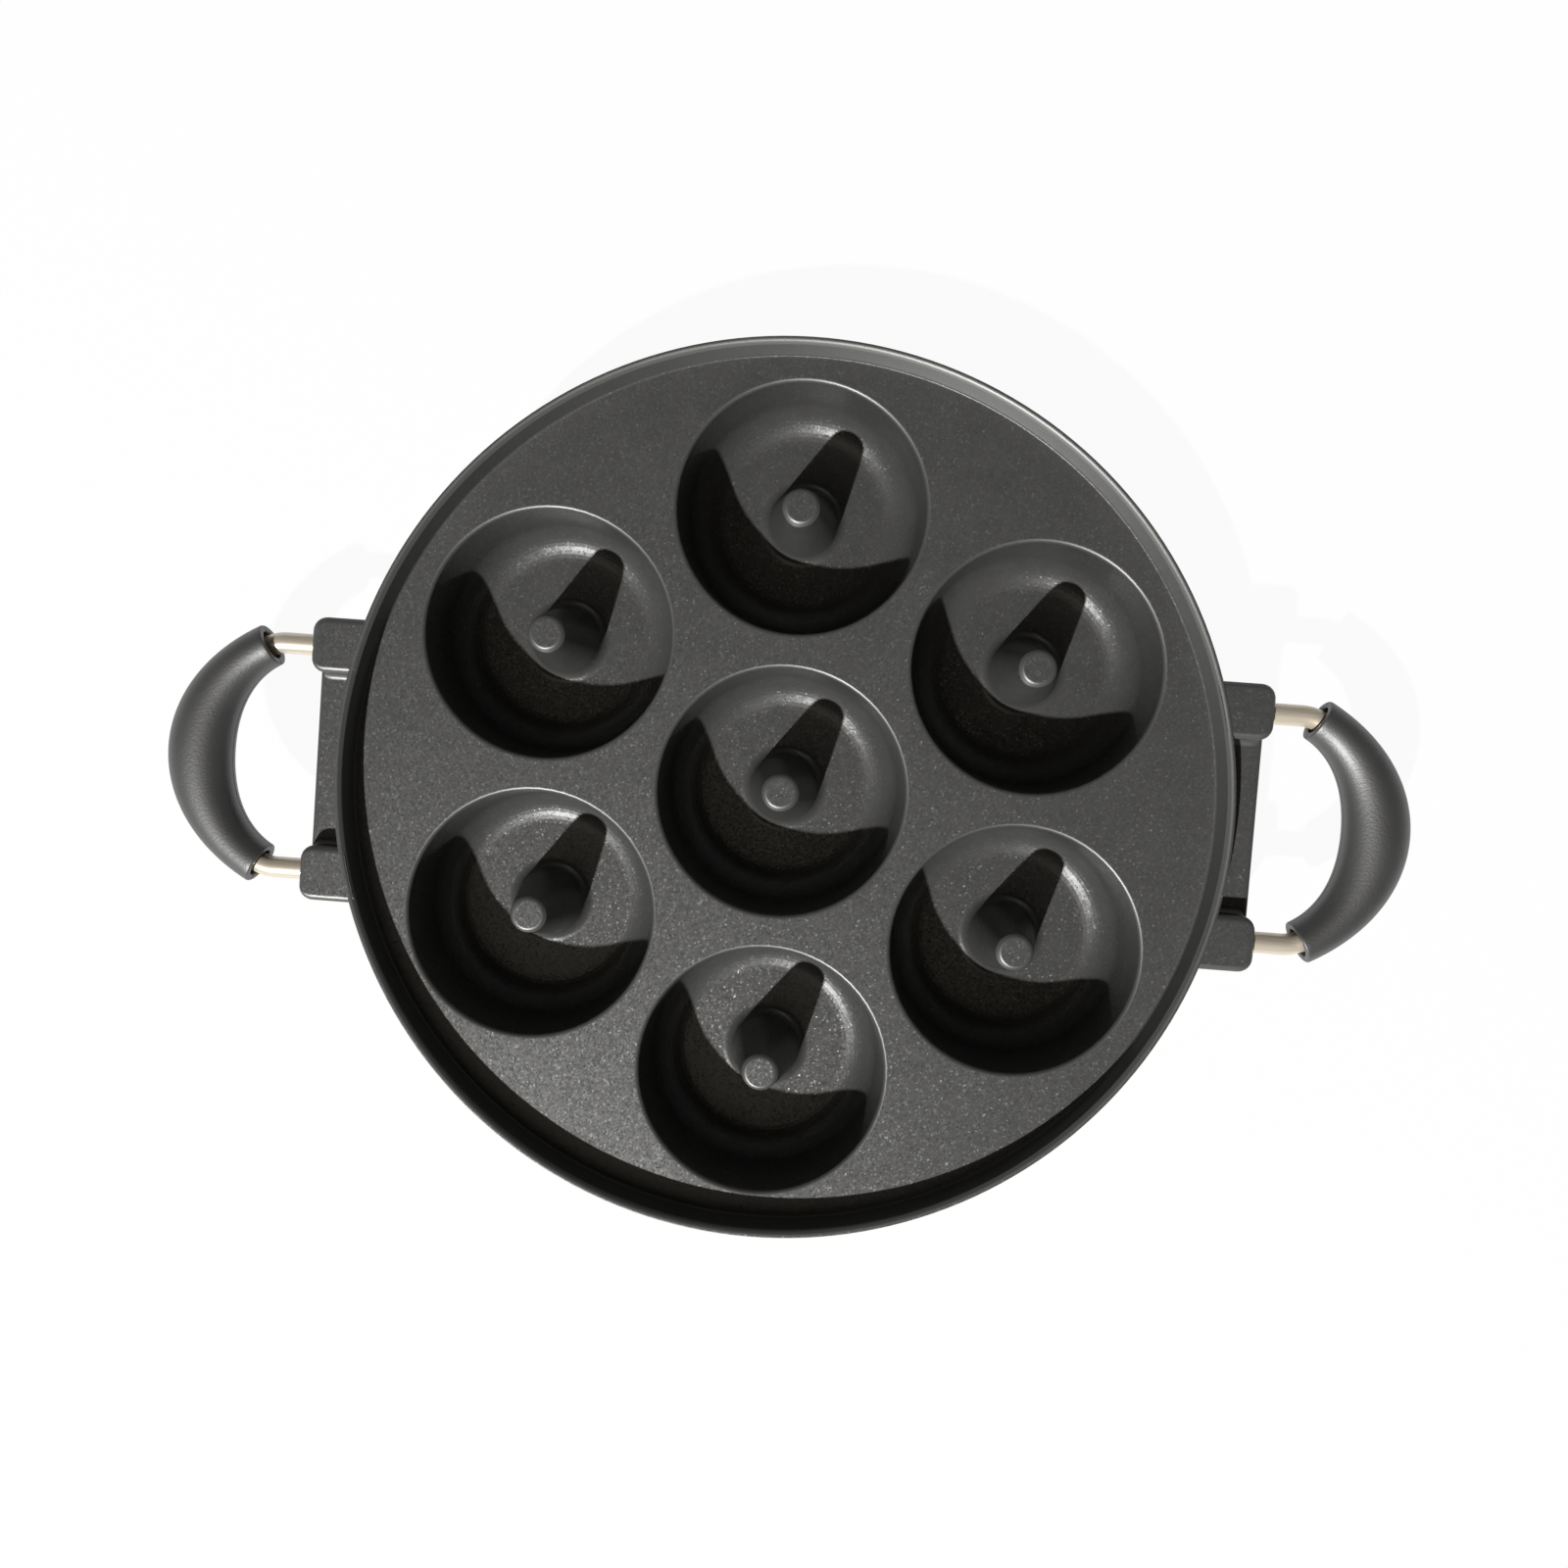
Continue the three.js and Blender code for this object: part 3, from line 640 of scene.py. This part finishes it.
def lock_pin_hole(leg_offset):
    """The hole for the pin that holds a wire's leg, from below the lug to above the wire."""
    bottom = LUG_TOP - LUG_HEIGHT - DRILL_START
    top = WIRE_LEVEL + WIRE_RADIUS + LOCK_PIN_OVERRUN
    return hole(LOCK_PIN_HOLE, bottom, top, (LUG_NOSE - LOCK_PIN_SETBACK, leg_offset))


def lug_mesh(leg_offset):
    """A lug: a rounded rectangle carried along X from inside the rim wall, drawn in by the nose's rounding,
    then across the nose's face to the socket's round mouth, down the socket and across its end. The lock
    pin's hole is drilled from below."""
    half = np.array([LUG_WIDTH, LUG_HEIGHT]) / 2
    section = supported(rounded_line([
        (half[0], -half[1], LUG_EDGE_ROUND, 6),
        (half[0], half[1], LUG_EDGE_ROUND, 6),
        (-half[0], half[1], LUG_EDGE_ROUND, 6),
        (-half[0], -half[1], LUG_EDGE_ROUND, 6),
    ]), closed=True)
    y, z = section.T
    root = root_of_ear(y + leg_offset)
    straight_x = root + LUG_ROWS[:, None] * (LUG_NOSE - LUG_CORNER - root)
    straight = np.stack([
        straight_x,
        np.broadcast_to(y, straight_x.shape),
        np.broadcast_to(z, straight_x.shape),
    ], -1)

    turn = np.radians(np.linspace(0, 90, NOSE_ROWS))
    nose_x = LUG_NOSE - LUG_CORNER * (1 - np.sin(turn))
    sideways = LUG_CORNER * (1 - np.cos(turn))
    past_edge = np.clip(nose_x - LUG_NOSE + LUG_EDGE_ROUND, 0, None)
    upright = LUG_EDGE_ROUND - np.sqrt(LUG_EDGE_ROUND ** 2 - past_edge ** 2)
    nose = np.stack([
        np.broadcast_to(nose_x[:, None], (NOSE_ROWS, len(y))),
        y * (1 - sideways / half[0])[:, None],
        z * (1 - upright / half[1])[:, None],
    ], -1)

    bore = WIRE_RADIUS + SOCKET_CLEARANCE
    mouth = bore + SOCKET_CHAMFER
    angle = np.arctan2(nose[-1, :, 2], nose[-1, :, 1])
    ring = np.stack([np.cos(angle), np.sin(angle)], -1)
    share = NOSE_FACE_ROWS[:, None, None]
    face = nose[-1, :, 1:] * (1 - share) + mouth * ring * share
    face = np.concatenate([np.full((*face.shape[:2], 1), LUG_NOSE), face], -1)
    depths = np.array([0.0, SOCKET_CHAMFER_DEPTH, SOCKET_SUPPORT, SOCKET_DEPTH + SOCKET_CLEARANCE])
    radii = np.array([mouth, bore, bore, bore])
    socket = np.concatenate([
        np.broadcast_to(LUG_NOSE - depths[:, None, None], (len(depths), len(y), 1)),
        radii[:, None, None] * ring,
    ], -1)

    grid = capped(np.concatenate([straight, nose, face, socket]))
    grid[0, :, 0] = root_of_ear(leg_offset)
    block = solid("lug", [(grid + np.array([0, leg_offset, WIRE_LEVEL]), True)])
    return drilled(block, lock_pin_hole(leg_offset))


def web_mesh():
    """The web between two lugs: a slab with a rounded outer edge, carried along Y, rooted in the rim wall."""
    low = WEB_TOP - WEB_THICKNESS
    section = supported(rounded_line([
        (0, low),
        (WEB_EDGE, low, WEB_EDGE_ROUND, 5),
        (WEB_EDGE, WEB_TOP, WEB_EDGE_ROUND, 5),
        (0, WEB_TOP),
    ]))
    y = np.linspace(-LEG_OFFSET, LEG_OFFSET, WEB_ROWS)[:, None]
    x = np.maximum(section[:, 0], root_of_ear(y))
    grid = np.stack([x, np.broadcast_to(y, x.shape), np.broadcast_to(section[:, 1], x.shape)], -1)
    return solid("web", [(capped(grid), True)])


def ear_fillet_mesh(face_y, away):
    """The fillet in the corner between a lug's side and the web: a concave quarter round carried along X,
    which follows the lug's side round its nose. Away is the direction along Y from the lug's side."""
    arc = np.radians(np.linspace(180, 270, FOOT_FILLET_POINTS))
    y = face_y + away * FOOT_FILLET * (1 + np.cos(arc))
    z = WEB_TOP + FOOT_FILLET * (1 + np.sin(arc))
    y = np.append(y, face_y - away * FOOT_FILLET_SINK)
    z = np.append(z, WEB_TOP - FOOT_FILLET_SINK)
    along = np.linspace(0, 1, FOOT_FILLET_ROWS)[:, None]
    start = root_of_ear(y)
    x = start + along * (WEB_EDGE - WEB_EDGE_ROUND - start)
    past = np.clip(x - LUG_NOSE + LUG_CORNER, 0, None)
    y = y - away * (LUG_CORNER - np.sqrt(LUG_CORNER ** 2 - past ** 2))
    grid = np.stack([x, y, np.broadcast_to(z, x.shape)], -1)
    return solid("ear_fillet", [(capped(grid), True)])


def ear_meshes():
    """The two lugs, the web and the fillets between them."""
    inner = LEG_OFFSET - LUG_WIDTH / 2
    return [
        lug_mesh(LEG_OFFSET),
        lug_mesh(-LEG_OFFSET),
        web_mesh(),
        ear_fillet_mesh(inner, -1),
        ear_fillet_mesh(-inner, 1),
    ]


# Handles, made on the +X side

def wire_line():
    """The wire's middle line, level: a leg, a bend, the bow, a bend and a leg. Bends and bow are arcs that
    touch."""
    bend_turn = np.arctan2(BEND_START - BOW_CENTRE, LEG_OFFSET - BEND_RADIUS)
    leg_x = np.linspace(LUG_NOSE - SOCKET_DEPTH, BEND_START, LEG_POINTS)[:-1]
    bend = np.linspace(0, bend_turn, BEND_POINTS)[:-1]
    bow = np.linspace(np.pi / 2 - bend_turn, 0, HALF_BOW_POINTS)
    x = np.concatenate([
        leg_x,
        BEND_START + BEND_RADIUS * np.sin(bend),
        BOW_CENTRE + BOW_RADIUS * np.cos(bow),
    ])
    y = np.concatenate([
        np.full(len(leg_x), LEG_OFFSET),
        LEG_OFFSET - BEND_RADIUS * (1 - np.cos(bend)),
        BOW_RADIUS * np.sin(bow),
    ])
    return np.concatenate([np.stack([x, -y], 1), np.stack([x, y], 1)[-2::-1]])


def wire_mesh():
    """The handle wire: a circle carried along the wire's middle line, square to it, drilled for the lock
    pins."""
    line = wire_line()
    ahead = np.gradient(line, axis=0)
    ahead /= np.linalg.norm(ahead, axis=1, keepdims=True)
    angle = np.linspace(0, 2 * np.pi, WIRE_COLUMNS, endpoint=False)
    aside = WIRE_RADIUS * np.cos(angle)
    x = line[:, :1] + ahead[:, 1:] * aside
    y = line[:, 1:] - ahead[:, :1] * aside
    z = np.broadcast_to(WIRE_LEVEL + WIRE_RADIUS * np.sin(angle), x.shape)
    bar = solid("wire", [(capped(np.stack([x, y, z], -1)), True)])
    return drilled(bar, lock_pin_hole(LEG_OFFSET), lock_pin_hole(-LEG_OFFSET))


def shell_mesh(up):
    """Half of a hollow crescent grip, above (up 1) or below (up -1) its parting plane. Its section is half an
    elliptical ring whose width and height swell from the ends to the middle as the cosine squared. At the
    open ends the wall closes with a rounded edge: it is taken in from both faces as a quarter circle. The
    lower half has a well for each screw's head."""
    edge = np.radians(np.linspace(0, 90, GRIP_EDGE_ROWS))
    back = np.concatenate([[0.0], GRIP_EDGE_ROUND * (1 - np.cos(edge))])
    to_middle = np.linspace(-1, 1, GRIP_ROWS)[2:GRIP_ROWS // 2 + 1]
    along = np.concatenate([-1 + back / (GRIP_HALF_ANGLE * BOW_RADIUS), to_middle])
    along = np.concatenate([along, -along[-2::-1]])
    rounding = GRIP_EDGE_ROUND * (1 - np.sin(edge))
    take_in = np.concatenate([[GRIP_WALL / 2], rounding, np.zeros(len(to_middle))])
    take_in = np.concatenate([take_in, take_in[-2::-1]])
    swell = np.cos(along * np.pi / 2) ** 2
    section = np.linspace(0, np.pi, GRIP_COLUMNS)
    wide = (GRIP_END_SIZE + (GRIP_MIDDLE_WIDTH - GRIP_END_SIZE) * swell) / 2
    high = (GRIP_END_SIZE + (GRIP_MIDDLE_HEIGHT - GRIP_END_SIZE) * swell) / 2

    def face(inset):
        """The half ellipses of one face, the inset in from the outer one."""
        radius = BOW_RADIUS + (wide - inset)[:, None] * np.cos(section)
        height = PARTING_GAP / 2 + (high - inset - PARTING_GAP / 2)[:, None] * np.sin(section)
        turn = (along * GRIP_HALF_ANGLE)[:, None]
        x = BOW_CENTRE + radius * np.cos(turn)
        return np.stack([x, radius * np.sin(turn), WIRE_LEVEL + up * height], -1)

    grid = np.concatenate([face(take_in), face(GRIP_WALL - take_in)[:, ::-1]], 1)
    shell = solid("shell", [(grid, True)])
    if up > 0:
        return shell
    wells = []
    for angle in (SCREW_ANGLE, -SCREW_ANGLE):
        centre = (BOW_CENTRE + SCREW_BOW_RADIUS * np.cos(angle), SCREW_BOW_RADIUS * np.sin(angle))
        wells.append(hole(SCREW_WELL, WIRE_LEVEL - GRIP_MIDDLE_HEIGHT, WIRE_LEVEL - SCREW_GRIP, centre))
    return drilled(shell, *wells)


# The pan put together

def on_side(side, meshes):
    """Meshes made on the +X side, which is the right one; for the left side they are turned half round."""
    if side == "left":
        for mesh in meshes:
            mesh.transform(Matrix.Rotation(np.pi, 4, "Z"))
    return meshes


coating = flecked_coating()
steel = drawn_steel()
plastic = moulded_plastic()
zinc = zinc_plate()

ears = on_side("right", ear_meshes()) + on_side("left", ear_meshes())
piece("pan_casting", [casting_mesh(), *ears], coating, "coated_casting", "pan_body")

for side in ("right", "left"):
    piece(f"{side}_wire", on_side(side, [wire_mesh()]), steel, "handle_wire", f"{side}_handle_wire")
    for part, up in (("upper", 1), ("lower", -1)):
        shells = on_side(side, [shell_mesh(up)])
        piece(f"{side}_grip_{part}", shells, plastic, "grip_plastic", f"{side}_grip_{part}_shell")

for name, shown in frame["nodes"].items():
    if name.endswith(("_wire_pin", "_grip_screw")):
        shown.data.materials.clear()
        shown.data.materials.append(zinc)


# Floor, light and camera

FLOOR_REACH = 4000.0
FLOOR_GAP = 0.02
PLAIN_WHITE_SHARE = 0.95    # of the floor as it is seen; the rest shows the pan's shadow

KEY_PLACE = (-1007, -2062, 2581)
KEY_SIZE = 83
KEY_POWER = 159

# Surroundings: (height of a direction, brightness) pairs, and the patch's place and strength
SKY_FALL = ((0.0, 0.22), (0.42, 0.18), (0.56, 0.01), (0.9, 0.002))
PATCH_AZIMUTH = np.radians(240)
PATCH_RISE = np.radians(67)
PATCH_EDGE = np.radians(22)
PATCH_CORE = np.radians(5)
PATCH_STRENGTH = 0.95

SENSOR_WIDTH = 36.0
FOCAL_LENGTH = 28.87
CAMERA_TURNS = np.radians((2.405, -1.849, -4.179))    # about X, Y and Z
CAMERA_SHIFT = (-0.9, -2.3, -356.5)                   # of the plate's middle, as the camera sees it


def floor_finish():
    """Matte white studio floor: plain white to the camera and in reflections, with the pan's shadow left on
    it."""
    material = bpy.data.materials.new("white_studio_floor")
    material.use_nodes = True
    tree = material.node_tree
    tree.nodes.clear()
    rays = node(tree, "ShaderNodeLightPath").outputs
    seen = node(tree, "ShaderNodeMath", {0: rays["Is Camera Ray"], 1: rays["Is Glossy Ray"]},
                operation="MAXIMUM")
    share = node(tree, "ShaderNodeMath", {0: seen.outputs[0]}, operation="MULTIPLY", in_1=PLAIN_WHITE_SHARE)
    matte = node(tree, "ShaderNodeBsdfDiffuse", Color=linear("#e9e9e8"))
    plain = node(tree, "ShaderNodeEmission", Color=(1, 1, 1, 1), Strength=1.0)
    both = node(tree, "ShaderNodeMixShader", {0: share.outputs[0], 1: matte.outputs[0], 2: plain.outputs[0]})
    node(tree, "ShaderNodeOutputMaterial", {"Surface": both.outputs[0]})
    return material


def studio_floor():
    """A level square under the pan: a grid of two by two points."""
    x, y = np.meshgrid([-FLOOR_REACH, FLOOR_REACH], [-FLOOR_REACH, FLOOR_REACH])
    mesh = solid("floor", [(np.stack([x, y, np.full(x.shape, -FLOOR_GAP)], -1), False)])
    if mesh.polygons[0].normal.z < 0:
        mesh.flip_normals()
    mesh.materials.append(floor_finish())
    made = bpy.data.objects.new("studio_floor", mesh)
    bpy.context.scene.collection.objects.link(made)


def key_lamp():
    """A small round light far above the front left, aimed at the plate's middle."""
    light = bpy.data.lights.new("key", "AREA")
    light.shape = "DISK"
    light.size = KEY_SIZE * MM
    light.energy = KEY_POWER
    made = bpy.data.objects.new("key", light)
    place = Vector(KEY_PLACE)
    made.location = place * MM
    made.rotation_euler = (Vector((0, 0, PLATE_TOP)) - place).to_track_quat("-Z", "Y").to_euler()
    bpy.context.scene.collection.objects.link(made)


def studio_world():
    """Even, dim surroundings that fall off from the horizon to overhead, with a warm bright patch above the
    front left, which shows as a soft sheen in the shadows there. Plain white behind."""
    made = bpy.data.worlds.new("studio")
    made.use_nodes = True
    tree = made.node_tree
    tree.nodes.clear()
    camera_ray = node(tree, "ShaderNodeLightPath").outputs["Is Camera Ray"]
    way = node(tree, "ShaderNodeTexCoord").outputs["Generated"]
    height = node(tree, "ShaderNodeSeparateXYZ", {"Vector": way}).outputs["Z"]
    shade = node(tree, "ShaderNodeValToRGB", {"Fac": height}, stops=SKY_FALL)
    sky = node(tree, "ShaderNodeBackground", {"Color": shade.outputs[0]}, Strength=1.0)
    level_part = np.cos(PATCH_RISE)
    middle = (np.cos(PATCH_AZIMUTH) * level_part, np.sin(PATCH_AZIMUTH) * level_part, np.sin(PATCH_RISE))
    near = node(tree, "ShaderNodeVectorMath", {0: way}, operation="DOT_PRODUCT", in_1=middle)
    glow = node(tree, "ShaderNodeMapRange", {"Value": near.outputs["Value"]}, interpolation_type="SMOOTHSTEP",
                in_1=np.cos(PATCH_EDGE), in_2=np.cos(PATCH_CORE), in_3=0.0, in_4=PATCH_STRENGTH)
    patch = node(tree, "ShaderNodeBackground", {"Strength": glow.outputs[0]}, Color=linear("#fff3e0"))
    light = node(tree, "ShaderNodeAddShader", {0: sky.outputs[0], 1: patch.outputs[0]})
    plain = node(tree, "ShaderNodeBackground", Color=(1, 1, 1, 1), Strength=1.0)
    both = node(tree, "ShaderNodeMixShader", {0: camera_ray, 1: light.outputs[0], 2: plain.outputs[0]})
    node(tree, "ShaderNodeOutputWorld", {"Surface": both.outputs[0]})
    bpy.context.scene.world = made


def camera():
    """The photograph's view: almost straight down on the plate, turned and tilted by a few degrees."""
    data = bpy.data.cameras.new("camera")
    data.sensor_width = SENSOR_WIDTH
    data.lens = FOCAL_LENGTH
    made = bpy.data.objects.new("camera", data)
    tilt, lean, turn = (Matrix.Rotation(angle, 3, axis) for angle, axis in zip(CAMERA_TURNS, "XYZ"))
    from_camera = (tilt @ lean @ turn).transposed()
    eye = Vector((0, 0, PLATE_TOP)) - from_camera @ Vector(CAMERA_SHIFT)
    made.matrix_world = Matrix.Translation(eye * MM) @ from_camera.to_4x4()
    bpy.context.scene.collection.objects.link(made)
    bpy.context.scene.camera = made


studio_floor()
key_lamp()
studio_world()
camera()
bpy.context.scene.view_settings.view_transform = "Standard"
